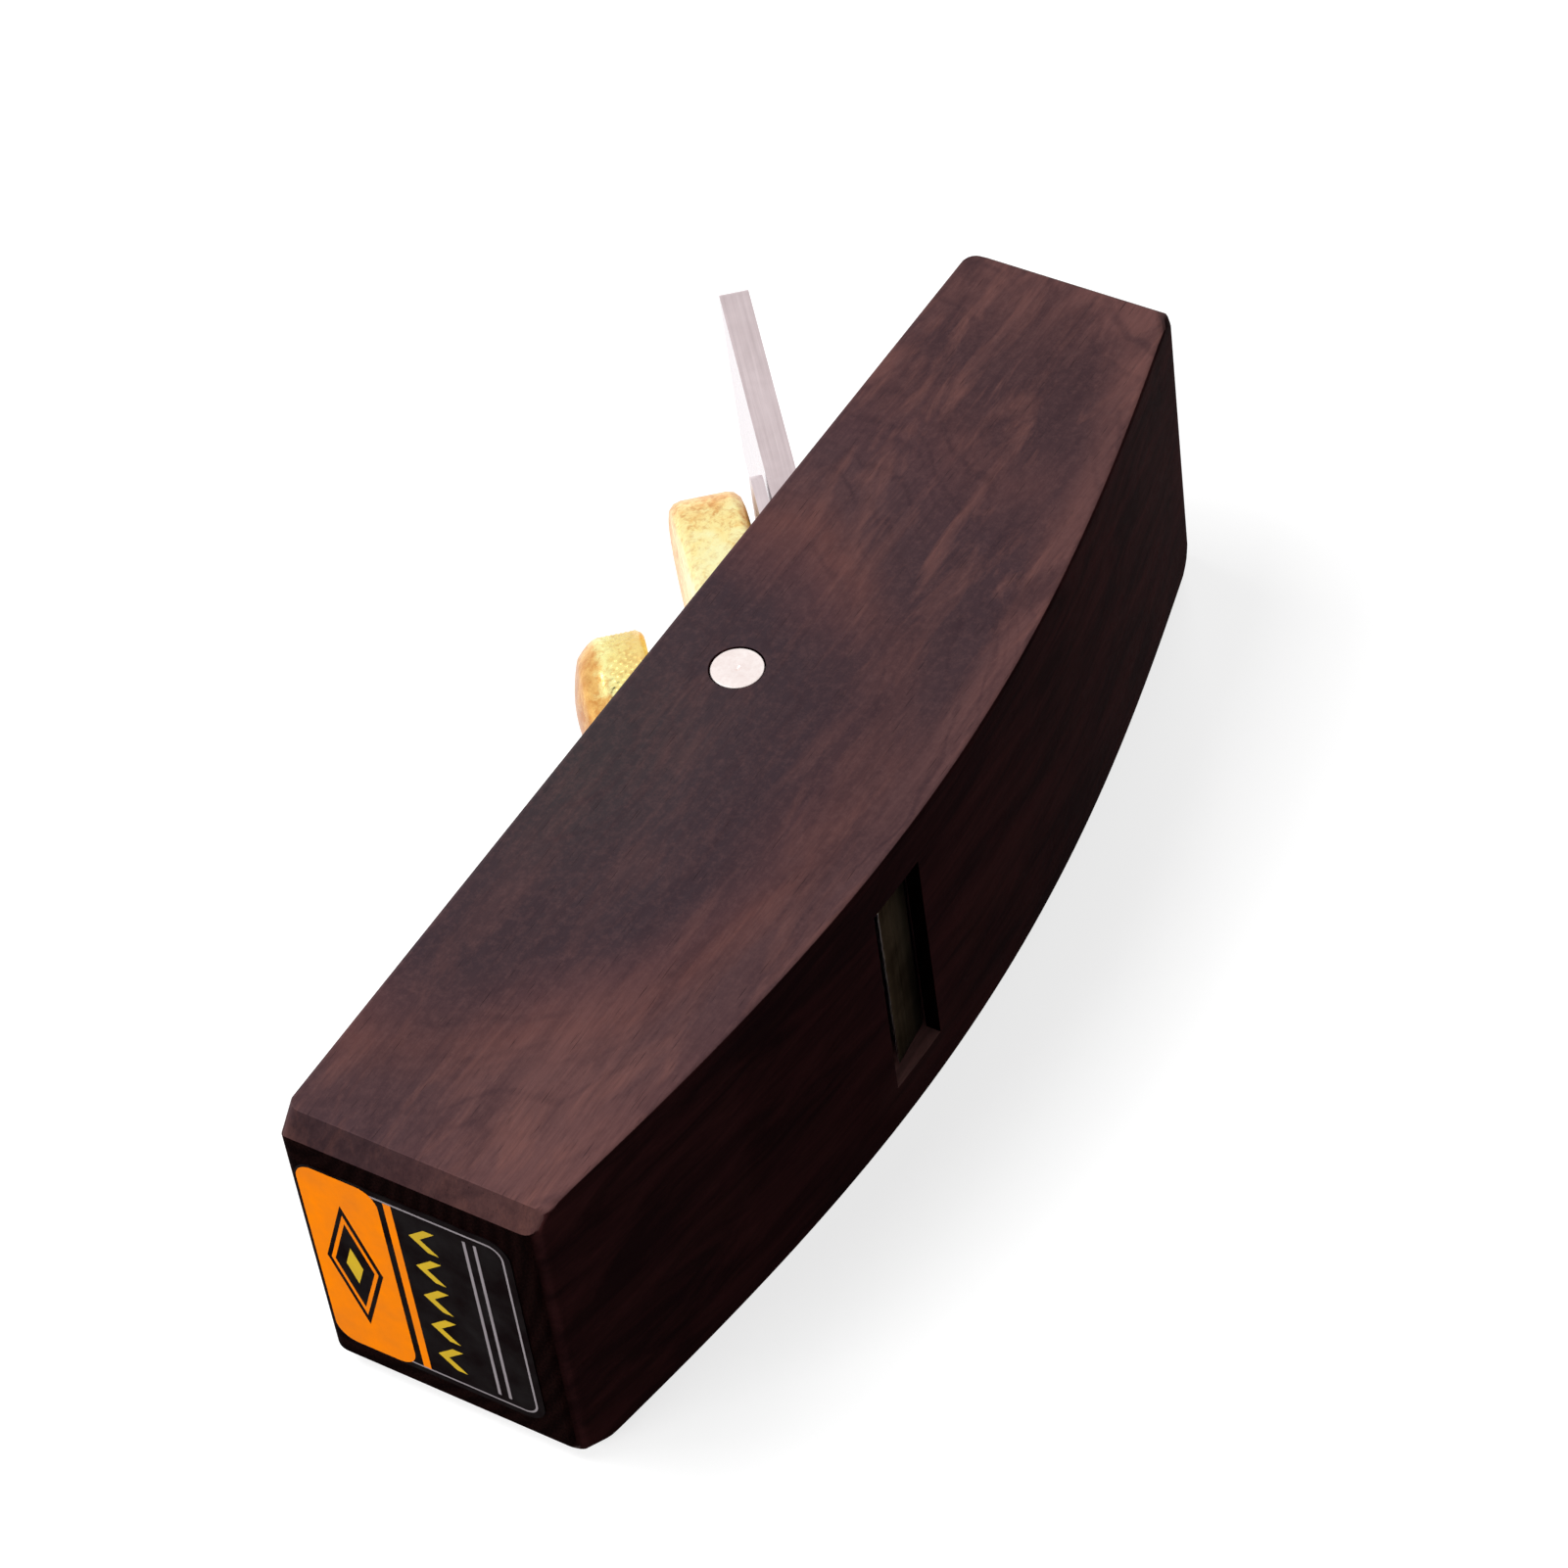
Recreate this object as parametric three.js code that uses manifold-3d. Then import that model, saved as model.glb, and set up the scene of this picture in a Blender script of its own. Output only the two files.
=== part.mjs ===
// Leather skiving plane: a small ebony block plane with a curved compass sole, lying on its right cheek.
// Millimetres. X runs to the toe, Y to the sole and Z up through the two cheeks. The origin is on the
// resting cheek, at mid length and half way between the flat top face and the crown of the sole.
import * as THREE from 'three';
import { mergeVertices } from 'three/addons/utils/BufferGeometryUtils.js';
import Module from 'manifold-3d';

const wasm = await Module();
wasm.setup();

// Wooden body
const BODY_LENGTH = 120;
const BODY_WIDTH = 33;
const CROWN_HEIGHT = 32.1;
const HEEL_HEIGHT = 21.7;
const TOE_HEIGHT = 26.2;
const SOLE_FLATTER_SHARE = 0.19;
const SOLE_STEPS = 56;
const CORNER_RADIUS = 1.5;
const CORNER_STEPS = 6;
const EDGE_BREAK = 0.5;
const EDGE_BREAK_STEPS = 2;
const TOE_CHAMFER = 1.8;
const HEEL_CHAMFER = 1.2;

// Throat, from the top face down to the mouth in the sole
const CHEEK_THICKNESS = 5;
const BED_ANGLE = THREE.MathUtils.degToRad(41);
const EDGE_FROM_MIDDLE = 14.2;
const MOUTH_GAP = 0.9;
const MOUTH_RELIEF = 1.6;
const WEAR_HEIGHT = 6;
const WEAR_LEAN = THREE.MathUtils.degToRad(5);
const ESCAPEMENT_LEAN = THREE.MathUtils.degToRad(12);

// Clearance between neighbouring pieces, and the overrun of every cut
const FIT_GAP = 0.3;
const SIDE_GAP = 0.3;
const OVERRUN = 3;

// Blade
const BLADE_LENGTH = 82;
const BLADE_THICKNESS = 2.9;
const BEVEL_ANGLE = THREE.MathUtils.degToRad(35);
const EDGE_SETBACK = 1.8;
const BLADE_CORNER = 1.2;

// Chip breaker, the thin plate between the blade and the lever cap
const BREAKER_THICKNESS = 1.2;
const BREAKER_SETBACK = 1.8;
const BREAKER_LENGTH = 55.3;
const BREAKER_NOSE_RUN = 3;
const BREAKER_LIP_SHARE = 0.25;
const BREAKER_CORNER = 3;

// Cross pin that the lever cap hooks under
const PIN_RADIUS = 2.5;
const PIN_UP_BLADE = 27.6;
const PIN_BORE_GAP = 0.12;
const PIN_INSET = 0.15;
const PIN_CHAMFER = 0.25;
const PIN_SIDES = 48;

// Brass lever cap
const CAP_SETBACK = 5;
const CAP_LENGTH = 58.1;
const CAP_SIDE_GAP = 1.5;
const CAP_NOSE_HEIGHT = 1.1;
const CAP_WEB = 2.4;
const CAP_HEAD_THICKNESS = 7.3;
const CAP_HEAD_LIFT = 0.6;
const CAP_SHOULDER_THICKNESS = 6.2;
const CAP_SHOULDER_RUN = 4;
const CAP_EDGE = 1.4;
const CAP_EDGE_STEPS = 3;
const CAP_LIP_ANGLE = THREE.MathUtils.degToRad(20);
const CAP_LIP_WIDTH = 1.2;
const CAP_CURVE_STEPS = 12;
const HEAD_STEPS = 24;

// Knurled thumb screw through the lever cap
const STUD_RADIUS = 2.5;
const STUD_CHAMFER = 0.5;
const SCREW_FROM_PIN = 14;
const KNOB_RADIUS = 7;
const KNOB_STANDOFF = 5.5;
const KNOB_BAND = 4.3;
const KNOB_UNDER_EDGE = 0.7;
const KNOB_SHOULDER_RISE = 2.2;
const KNOB_SHOULDER_RUN = 1.6;
const KNOB_DOME_RISE = 1.1;
const KNOB_SOCKET_DEPTH = 4;
const KNURL_COUNT = 36;
const KNURL_DEPTH = 0.4;
const DOME_STEPS = 5;
const TURNED_SIDES = 72;

// Places worked out from the sizes above
const HALF_LENGTH = BODY_LENGTH / 2;
const HALF_WIDTH = BODY_WIDTH / 2;
const TOP_Y = -CROWN_HEIGHT / 2;
const SOLE_BOW = CROWN_HEIGHT - (HEEL_HEIGHT + TOE_HEIGHT) / 2;
const THROAT_WIDTH = BODY_WIDTH - 2 * CHEEK_THICKNESS;
const BLADE_WIDTH = THROAT_WIDTH - 2 * SIDE_GAP;
const CAP_WIDTH = THROAT_WIDTH - 2 * CAP_SIDE_GAP;
const BREAKER_TOP = FIT_GAP + BREAKER_THICKNESS;
const CAP_UNDERSIDE = BREAKER_TOP + FIT_GAP;
const CAP_END = CAP_SETBACK + CAP_LENGTH;
const GROOVE_RADIUS = PIN_RADIUS + FIT_GAP;
const PIN_STANDOFF = capUnderside(PIN_UP_BLADE) + CAP_WEB + GROOVE_RADIUS;
const SCREW_UP_BLADE = PIN_UP_BLADE + SCREW_FROM_PIN;
const KNOB_BASE = capOuterFace(SCREW_UP_BLADE) + KNOB_STANDOFF;
const EDGE_POINT = new THREE.Vector2(EDGE_FROM_MIDDLE, soleY(EDGE_FROM_MIDDLE));

// Height of the compass sole along the body: a bow, flatter towards its ends, over two uneven end heights.
function soleY(x) {
  const along = x / HALF_LENGTH;
  const ends = HEEL_HEIGHT + (TOE_HEIGHT - HEEL_HEIGHT) * (along + 1) / 2;
  const bow = SOLE_BOW * (1 - along ** 2) * (1 - SOLE_FLATTER_SHARE * along ** 2);
  return TOP_Y + ends + bow;
}

// The cap's underside lifts evenly from the nose to the head, and its outer face has a taper of its own.
function capUnderside(up) {
  return CAP_UNDERSIDE + CAP_HEAD_LIFT * (up - CAP_SETBACK) / CAP_LENGTH;
}

function capOuterFace(up) {
  const taper = (CAP_HEAD_THICKNESS - CAP_SHOULDER_THICKNESS) / (CAP_END - PIN_UP_BLADE);
  return capUnderside(up) + CAP_HEAD_THICKNESS - taper * (CAP_END - up);
}

// A place given by its distance up the blade and its height off the blade's front face, in the body's X and Y.
function onBlade(up, height) {
  const place = new THREE.Vector2(up, height);
  return place.rotateAround(new THREE.Vector2(), Math.PI + BED_ANGLE).add(EDGE_POINT);
}

// Geometry helpers
function toSolid(geometry) {
  const plain = geometry.clone();
  plain.deleteAttribute('normal');
  plain.deleteAttribute('uv');
  const merged = mergeVertices(plain);
  return new wasm.Manifold(new wasm.Mesh({
    numProp: 3,
    vertProperties: Float32Array.from(merged.attributes.position.array),
    triVerts: Uint32Array.from(merged.index.array),
  }));
}

function toGeometry(solid) {
  const mesh = solid.getMesh();
  const geometry = new THREE.BufferGeometry();
  geometry.setAttribute('position', new THREE.BufferAttribute(mesh.vertProperties, 3));
  geometry.setIndex(new THREE.BufferAttribute(mesh.triVerts, 1));
  geometry.computeVertexNormals();
  return geometry;
}

// An outline pulled along Z, centred on Z = 0, with an optional rounded or chamfered rim inside its size.
function prism(shape, depth, rim = 0, rimSteps = 1) {
  const geometry = new THREE.ExtrudeGeometry(shape, {
    depth: depth - 2 * rim,
    bevelEnabled: rim > 0,
    bevelThickness: rim,
    bevelSize: rim,
    bevelOffset: -rim,
    bevelSegments: rimSteps,
    curveSegments: HEAD_STEPS,
  });
  return geometry.translate(0, 0, rim - depth / 2);
}

// The same for an outline seen from the front of the blade, in X and Z, with its depth along Y from zero.
function plate(shape, depth, rim = 0, rimSteps = 1) {
  return prism(shape, depth, rim, rimSteps).rotateX(Math.PI / 2).translate(0, depth / 2, 0);
}

function turned(profile, sides) {
  return new THREE.LatheGeometry(profile.map(([radius, y]) => new THREE.Vector2(radius, y)), sides);
}

function outlineOf(places) {
  return new THREE.Shape(places.map(([x, y]) => new THREE.Vector2(x, y)));
}

// A rectangle from low to high along X, centred in width, with round corners at its high end.
function stripOutline(low, high, width, corner) {
  const half = width / 2;
  const shape = new THREE.Shape();
  shape.moveTo(low, -half);
  shape.lineTo(high - corner, -half);
  shape.absarc(high - corner, -half + corner, corner, -Math.PI / 2, 0);
  shape.absarc(high - corner, half - corner, corner, 0, Math.PI / 2);
  shape.lineTo(low, half);
  return shape;
}

// Wooden body: side view with a rounded outline, trimmed at its upright end edges, then cut for the throat.
function bodyOutline() {
  const shape = new THREE.Shape();
  const inner = HALF_LENGTH - CORNER_RADIUS;
  const roundTo = (cornerX, cornerY, endX, endY) => {
    const start = shape.currentPoint.clone();
    const corner = new THREE.Vector2(cornerX, cornerY);
    const curve = new THREE.QuadraticBezierCurve(start, corner, new THREE.Vector2(endX, endY));
    curve.getPoints(CORNER_STEPS).slice(1).forEach((point) => shape.lineTo(point.x, point.y));
  };
  shape.moveTo(-HALF_LENGTH, TOP_Y + CORNER_RADIUS);
  roundTo(-HALF_LENGTH, TOP_Y, -inner, TOP_Y);
  shape.lineTo(inner, TOP_Y);
  roundTo(HALF_LENGTH, TOP_Y, HALF_LENGTH, TOP_Y + CORNER_RADIUS);
  shape.lineTo(HALF_LENGTH, soleY(HALF_LENGTH) - CORNER_RADIUS);
  roundTo(HALF_LENGTH, soleY(HALF_LENGTH), inner, soleY(inner));
  for (let step = 1; step <= SOLE_STEPS; step += 1) {
    const x = inner - 2 * inner * step / SOLE_STEPS;
    shape.lineTo(x, soleY(x));
  }
  roundTo(-HALF_LENGTH, soleY(-HALF_LENGTH), -HALF_LENGTH, soleY(-HALF_LENGTH) - CORNER_RADIUS);
  return shape;
}

// The four 45 degree end chamfers are the sides of one diamond, and its rounded rim carries the round
// corners of the top face across them.
function endTrim() {
  const toe = HALF_LENGTH + HALF_WIDTH - TOE_CHAMFER;
  const heel = HALF_LENGTH + HALF_WIDTH - HEEL_CHAMFER;
  const middle = (toe - heel) / 2;
  const side = (toe + heel) / 2;
  const diamond = outlineOf([[toe, 0], [middle, side], [-heel, 0], [middle, -side]]);
  return plate(diamond, CROWN_HEIGHT + OVERRUN, CORNER_RADIUS, CORNER_STEPS).translate(0, TOP_Y, 0);
}

function throatOutline() {
  const bedDepth = BLADE_THICKNESS + FIT_GAP;
  const heelX = EDGE_POINT.x - bedDepth / Math.sin(BED_ANGLE) - MOUTH_RELIEF;
  const frontX = EDGE_POINT.x + MOUTH_GAP;
  const above = TOP_Y - OVERRUN;
  const below = EDGE_POINT.y + OVERRUN;
  const wearY = EDGE_POINT.y - WEAR_HEIGHT;
  const wearX = frontX + WEAR_HEIGHT * Math.tan(WEAR_LEAN);
  const bedYAt = (x) => EDGE_POINT.y - (EDGE_POINT.x - bedDepth / Math.sin(BED_ANGLE) - x) * Math.tan(BED_ANGLE);
  const bedXAt = (y) => EDGE_POINT.x - bedDepth / Math.sin(BED_ANGLE) - (EDGE_POINT.y - y) / Math.tan(BED_ANGLE);
  return outlineOf([
    [bedXAt(above), above],
    [wearX + (wearY - above) * Math.tan(ESCAPEMENT_LEAN), above],
    [wearX, wearY],
    [frontX, EDGE_POINT.y],
    [frontX, below],
    [heelX, below],
    [heelX, bedYAt(heelX)],
  ]);
}

function buildBody() {
  const pinPlace = onBlade(PIN_UP_BLADE, PIN_STANDOFF);
  const boreLength = BODY_WIDTH + 2 * OVERRUN;
  const boreRadius = PIN_RADIUS + PIN_BORE_GAP;
  const bore = new THREE.CylinderGeometry(boreRadius, boreRadius, boreLength, PIN_SIDES);
  bore.rotateX(Math.PI / 2).translate(pinPlace.x, pinPlace.y, 0);
  const block = toSolid(prism(bodyOutline(), BODY_WIDTH, EDGE_BREAK, EDGE_BREAK_STEPS));
  const throat = toSolid(prism(throatOutline(), THROAT_WIDTH));
  return block.intersect(toSolid(endTrim())).subtract(throat).subtract(toSolid(bore));
}

// Blade: a flat iron with its bevel on the bed side, so that the cutting edge lies on its front face.
function buildBlade() {
  const top = EDGE_SETBACK + BLADE_LENGTH;
  const bevelRun = BLADE_THICKNESS / Math.tan(BEVEL_ANGLE);
  const side = outlineOf([
    [EDGE_SETBACK, 0],
    [EDGE_SETBACK + bevelRun, -BLADE_THICKNESS],
    [top + OVERRUN, -BLADE_THICKNESS],
    [top + OVERRUN, 0],
  ]);
  const face = plate(stripOutline(EDGE_SETBACK - OVERRUN, top, BLADE_WIDTH, BLADE_CORNER), BLADE_THICKNESS + 2 * OVERRUN);
  face.translate(0, -BLADE_THICKNESS - OVERRUN, 0);
  return toSolid(prism(side, BLADE_WIDTH + 2 * OVERRUN)).intersect(toSolid(face));
}

function buildBreaker() {
  const low = EDGE_SETBACK + BREAKER_SETBACK;
  const top = low + BREAKER_LENGTH;
  const side = outlineOf([
    [low, FIT_GAP],
    [top + OVERRUN, FIT_GAP],
    [top + OVERRUN, BREAKER_TOP],
    [low + BREAKER_NOSE_RUN, BREAKER_TOP],
    [low, FIT_GAP + BREAKER_THICKNESS * BREAKER_LIP_SHARE],
  ]);
  const face = plate(stripOutline(low - OVERRUN, top, BLADE_WIDTH, BREAKER_CORNER), BREAKER_TOP + 2 * OVERRUN);
  face.translate(0, -OVERRUN, 0);
  return toSolid(prism(side, BLADE_WIDTH + 2 * OVERRUN)).intersect(toSolid(face));
}

// Lever cap blank: a plate with a round head and a rounded rim, its two faces laid on their own tapers.
function capBlank() {
  const radius = CAP_WIDTH / 2;
  const shape = stripOutline(CAP_SETBACK, CAP_END, CAP_WIDTH, radius);
  const blank = plate(shape, CAP_HEAD_THICKNESS, CAP_EDGE, CAP_EDGE_STEPS);
  const position = blank.attributes.position;
  for (let index = 0; index < position.count; index += 1) {
    const up = position.getX(index);
    const share = position.getY(index) / CAP_HEAD_THICKNESS;
    position.setY(index, capUnderside(up) + (capOuterFace(up) - capUnderside(up)) * share);
  }
  return blank;
}

// The cap from the side: thin nose, lip, round seat for the cross pin, and the rise to the thick head.
function capSideOutline() {
  const below = capUnderside(CAP_SETBACK) - OVERRUN;
  const above = capOuterFace(CAP_END) + OVERRUN;
  const lipX = GROOVE_RADIUS * Math.cos(CAP_LIP_ANGLE);
  const lipY = PIN_STANDOFF - GROOVE_RADIUS * Math.sin(CAP_LIP_ANGLE);
  const noseTop = new THREE.Vector2(CAP_SETBACK, CAP_UNDERSIDE + CAP_NOSE_HEIGHT);
  const lipStart = new THREE.Vector2(PIN_UP_BLADE - lipX - CAP_LIP_WIDTH, lipY);
  const crest = new THREE.Vector2((noseTop.x + lipStart.x) / 2, lipY);
  const nose = new THREE.QuadraticBezierCurve(noseTop, crest, lipStart).getPoints(CAP_CURVE_STEPS);
  const groove = [];
  for (let step = 0; step <= CAP_CURVE_STEPS; step += 1) {
    const angle = Math.PI + CAP_LIP_ANGLE + (Math.PI - 2 * CAP_LIP_ANGLE) * step / CAP_CURVE_STEPS;
    groove.push([PIN_UP_BLADE + GROOVE_RADIUS * Math.cos(angle), PIN_STANDOFF + GROOVE_RADIUS * Math.sin(angle)]);
  }
  const shoulderX = PIN_UP_BLADE + lipX + CAP_SHOULDER_RUN;
  return outlineOf([
    [CAP_SETBACK, below],
    [CAP_END + OVERRUN, below],
    [CAP_END + OVERRUN, above],
    [shoulderX + OVERRUN, above],
    [shoulderX, capOuterFace(shoulderX)],
    ...groove.reverse(),
    ...nose.reverse().map((point) => [point.x, point.y]),
  ]);
}

function buildLeverCap() {
  const boreRadius = STUD_RADIUS + FIT_GAP;
  const boreLength = capOuterFace(SCREW_UP_BLADE) + 2 * OVERRUN;
  const bore = new THREE.CylinderGeometry(boreRadius, boreRadius, boreLength, PIN_SIDES);
  bore.translate(SCREW_UP_BLADE, boreLength / 2 - OVERRUN, 0);
  const side = toSolid(prism(capSideOutline(), CAP_WIDTH + 2 * OVERRUN));
  return toSolid(capBlank()).intersect(side).subtract(toSolid(bore));
}

// Thumb screw: a straight-knurled knob with a domed end, on a plain stud that presses on the chip breaker.
function knobProfile() {
  const shoulder = KNOB_BAND + KNOB_SHOULDER_RISE;
  const faceRadius = KNOB_RADIUS - KNOB_SHOULDER_RUN;
  const profile = [[0, 0], [KNOB_RADIUS - KNOB_UNDER_EDGE, 0], [KNOB_RADIUS, KNOB_UNDER_EDGE], [KNOB_RADIUS, KNOB_BAND]];
  for (let step = 0; step <= DOME_STEPS; step += 1) {
    const share = 1 - step / DOME_STEPS;
    profile.push([faceRadius * share, shoulder + KNOB_DOME_RISE * (1 - share ** 2)]);
  }
  return profile;
}

function knurlOutline() {
  const places = [];
  for (let step = 0; step < 2 * KNURL_COUNT; step += 1) {
    const radius = step % 2 ? KNOB_RADIUS - KNURL_DEPTH : KNOB_RADIUS + KNURL_DEPTH / 2;
    const angle = Math.PI * step / KNURL_COUNT;
    places.push([radius * Math.cos(angle), radius * Math.sin(angle)]);
  }
  return outlineOf(places);
}

function buildKnob() {
  const height = KNOB_BAND + KNOB_SHOULDER_RISE + KNOB_DOME_RISE;
  const knurl = plate(knurlOutline(), height + 2 * OVERRUN).translate(0, -OVERRUN, 0);
  const socketRadius = STUD_RADIUS + FIT_GAP;
  const socketDepth = KNOB_SOCKET_DEPTH + FIT_GAP;
  const socket = new THREE.CylinderGeometry(socketRadius, socketRadius, socketDepth + OVERRUN, PIN_SIDES);
  socket.translate(0, (socketDepth - OVERRUN) / 2, 0);
  return toSolid(turned(knobProfile(), TURNED_SIDES)).intersect(toSolid(knurl)).subtract(toSolid(socket));
}

function studGeometry() {
  const foot = BREAKER_TOP + FIT_GAP;
  const top = KNOB_BASE + KNOB_SOCKET_DEPTH;
  return turned([
    [0, foot],
    [STUD_RADIUS - STUD_CHAMFER, foot],
    [STUD_RADIUS, foot + STUD_CHAMFER],
    [STUD_RADIUS, top],
    [0, top],
  ], PIN_SIDES);
}

function pinGeometry() {
  const half = HALF_WIDTH - PIN_INSET;
  return turned([
    [0, -half],
    [PIN_RADIUS - PIN_CHAMFER, -half],
    [PIN_RADIUS, -half + PIN_CHAMFER],
    [PIN_RADIUS, half - PIN_CHAMFER],
    [PIN_RADIUS - PIN_CHAMFER, half],
    [0, half],
  ], PIN_SIDES).rotateX(Math.PI / 2);
}

// Materials
const finish = (color, roughness, metalness) => new THREE.MeshStandardMaterial({ color, roughness, metalness });
const ebony = () => finish(0x3a2422, 0.55, 0);
const brass = () => finish(0xd9a441, 0.3, 1);
const bladeSteel = () => finish(0xc9c2c4, 0.35, 1);

function piece(name, geometry, material) {
  const mesh = new THREE.Mesh(geometry, material);
  mesh.name = name;
  return mesh;
}

// Assembly. The blade group lies on the bed, its X up the blade and its Y out of the blade's front face.
const ironGroup = new THREE.Group();
ironGroup.position.set(EDGE_POINT.x, EDGE_POINT.y, 0);
ironGroup.rotation.z = Math.PI + BED_ANGLE;
ironGroup.add(piece('blade', toGeometry(buildBlade()), bladeSteel()));
ironGroup.add(piece('chip_breaker', toGeometry(buildBreaker()), bladeSteel()));
ironGroup.add(piece('lever_cap', toGeometry(buildLeverCap()), brass()));

const crossPin = piece('cross_pin', pinGeometry(), bladeSteel());
crossPin.position.set(PIN_UP_BLADE, PIN_STANDOFF, 0);
ironGroup.add(crossPin);

const thumbScrew = new THREE.Group();
thumbScrew.position.set(SCREW_UP_BLADE, 0, 0);
thumbScrew.add(piece('screw_stud', studGeometry(), brass()));
const knob = piece('screw_knob', toGeometry(buildKnob()), brass());
knob.position.set(0, KNOB_BASE, 0);
thumbScrew.add(knob);
ironGroup.add(thumbScrew);

const plane = new THREE.Group();
plane.position.set(0, 0, HALF_WIDTH);
plane.add(piece('body', toGeometry(buildBody()), ebony()));
plane.add(ironGroup);

export default plane;
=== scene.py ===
"""Dressed scene of a small ebony leather skiving plane, lying on its right cheek on a pale table."""
import logging
import math
from dataclasses import dataclass, field
from enum import Enum
from typing import Callable, Iterator, Sequence

import bmesh
import bpy
from mathutils import Matrix, Vector


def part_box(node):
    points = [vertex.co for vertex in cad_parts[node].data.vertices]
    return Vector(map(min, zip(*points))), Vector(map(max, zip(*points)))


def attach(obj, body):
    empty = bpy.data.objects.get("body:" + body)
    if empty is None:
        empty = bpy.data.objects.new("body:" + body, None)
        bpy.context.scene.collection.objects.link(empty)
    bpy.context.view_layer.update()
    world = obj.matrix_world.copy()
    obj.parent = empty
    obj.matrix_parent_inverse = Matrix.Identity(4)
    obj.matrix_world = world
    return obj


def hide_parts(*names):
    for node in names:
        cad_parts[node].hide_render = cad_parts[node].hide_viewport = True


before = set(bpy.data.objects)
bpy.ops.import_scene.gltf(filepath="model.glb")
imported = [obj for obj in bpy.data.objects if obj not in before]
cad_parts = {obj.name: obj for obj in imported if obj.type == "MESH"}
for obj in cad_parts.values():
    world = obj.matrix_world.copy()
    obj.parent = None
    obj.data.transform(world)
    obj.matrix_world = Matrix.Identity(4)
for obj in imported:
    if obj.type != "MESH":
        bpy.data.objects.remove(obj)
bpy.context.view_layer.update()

log = logging.getLogger("skiving_plane")

MM = 0.001
FULL_TURN = 2 * math.pi
SAME_PLACE = 0.001 * MM
SAME_FACE = math.radians(0.2)
# A span is a low and a high value, with two new values after them where it is spread over others.
Span = tuple[float, ...]
Colour = tuple[float, float, float, float]
Place = tuple[float, float, float]
Tones = tuple[tuple[float, Colour], ...]
Profile = Sequence[tuple[float, float]]
Socket = bpy.types.NodeSocket
Source = Socket | float | Sequence[float]


def paint(red: int, green: int, blue: int) -> Colour:
    """Turn a colour as it is seen on a screen into the renderer's linear colour.

    Args:
        red: red from 0 to 255.
        green: green from 0 to 255.
        blue: blue from 0 to 255.

    Returns:
        The linear colour with full opacity.
    """
    def one(value: int) -> float:
        """Return one linear channel."""
        share = value / 255
        return share / 12.92 if share <= 0.04045 else ((share + 0.055) / 1.055) ** 2.4

    return one(red), one(green), one(blue), 1.0


class Body(str, Enum):
    """The moving bodies of the plane."""

    STOCK = "stock"
    IRON = "iron"
    BREAKER = "breaker"
    CAP = "cap"
    STUD = "stud"
    KNOB = "knob"


class Ink(Enum):
    """The printed colours of the toe label."""

    ORANGE = (255, 136, 10)
    BLACK = (12, 5, 6)
    YELLOW = (214, 178, 48)
    GREY = (150, 142, 146)


@dataclass(frozen=True)
class Grain:
    """A noise in a material: its features per millimetre along each axis, its detail and its swirl."""

    per_mm: Place
    detail: float = 4
    roughness: float = 0.55
    swirl: float = 0
    start: Place = (0, 0, 0)


class Nodes:
    """A node tree, with short ways to add nodes to it."""

    def __init__(self, tree: bpy.types.NodeTree) -> None:
        """Take the tree.

        Args:
            tree: the tree that the nodes go into.
        """
        self.tree = tree

    def fill(self, node: bpy.types.Node, inputs: dict[str | int, Source]) -> bpy.types.Node:
        """Set or link a node's inputs.

        Args:
            node: the node.
            inputs: what goes into each input, by its name or its number.

        Returns:
            The same node.
        """
        for name, source in inputs.items():
            if isinstance(source, Socket):
                self.tree.links.new(source, node.inputs[name])
            else:
                node.inputs[name].default_value = source
        return node

    def add(self, kind: str, inputs: dict[str | int, Source], **settings: str) -> bpy.types.Node:
        """Add a node.

        Args:
            kind: the last part of its type's name, such as Math.
            inputs: what goes into each input, by its name or its number.
            settings: its other settings, such as its operation.

        Returns:
            The node.
        """
        node = self.tree.nodes.new(f"ShaderNode{kind}")
        for name, value in settings.items():
            setattr(node, name, value)
        return self.fill(node, inputs)

    def maths(self, operation: str, first: Socket, second: Socket | float = 0) -> Socket:
        """Combine two values.

        Args:
            operation: the name of the sum, such as MULTIPLY.
            first: the first value.
            second: the second value, where the sum has one.

        Returns:
            The result.
        """
        return self.add("Math", {0: first, 1: second}, operation=operation).outputs[0]

    def span(self, value: Socket, low: float, high: float, new_low: float = 0, new_high: float = 1) -> Socket:
        """Spread a value from one span over another, clamped to it.

        Args:
            value: the value.
            low: the value that becomes new_low.
            high: the value that becomes new_high.
            new_low: the new value at low.
            new_high: the new value at high.

        Returns:
            The spread value.
        """
        inputs = {"Value": value, "From Min": low, "From Max": high, "To Min": new_low, "To Max": new_high}
        return self.add("MapRange", inputs).outputs["Result"]

    def length(self, vector: Socket) -> Socket:
        """Return the length of a vector."""
        return self.add("VectorMath", {0: vector}, operation="LENGTH").outputs["Value"]


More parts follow.
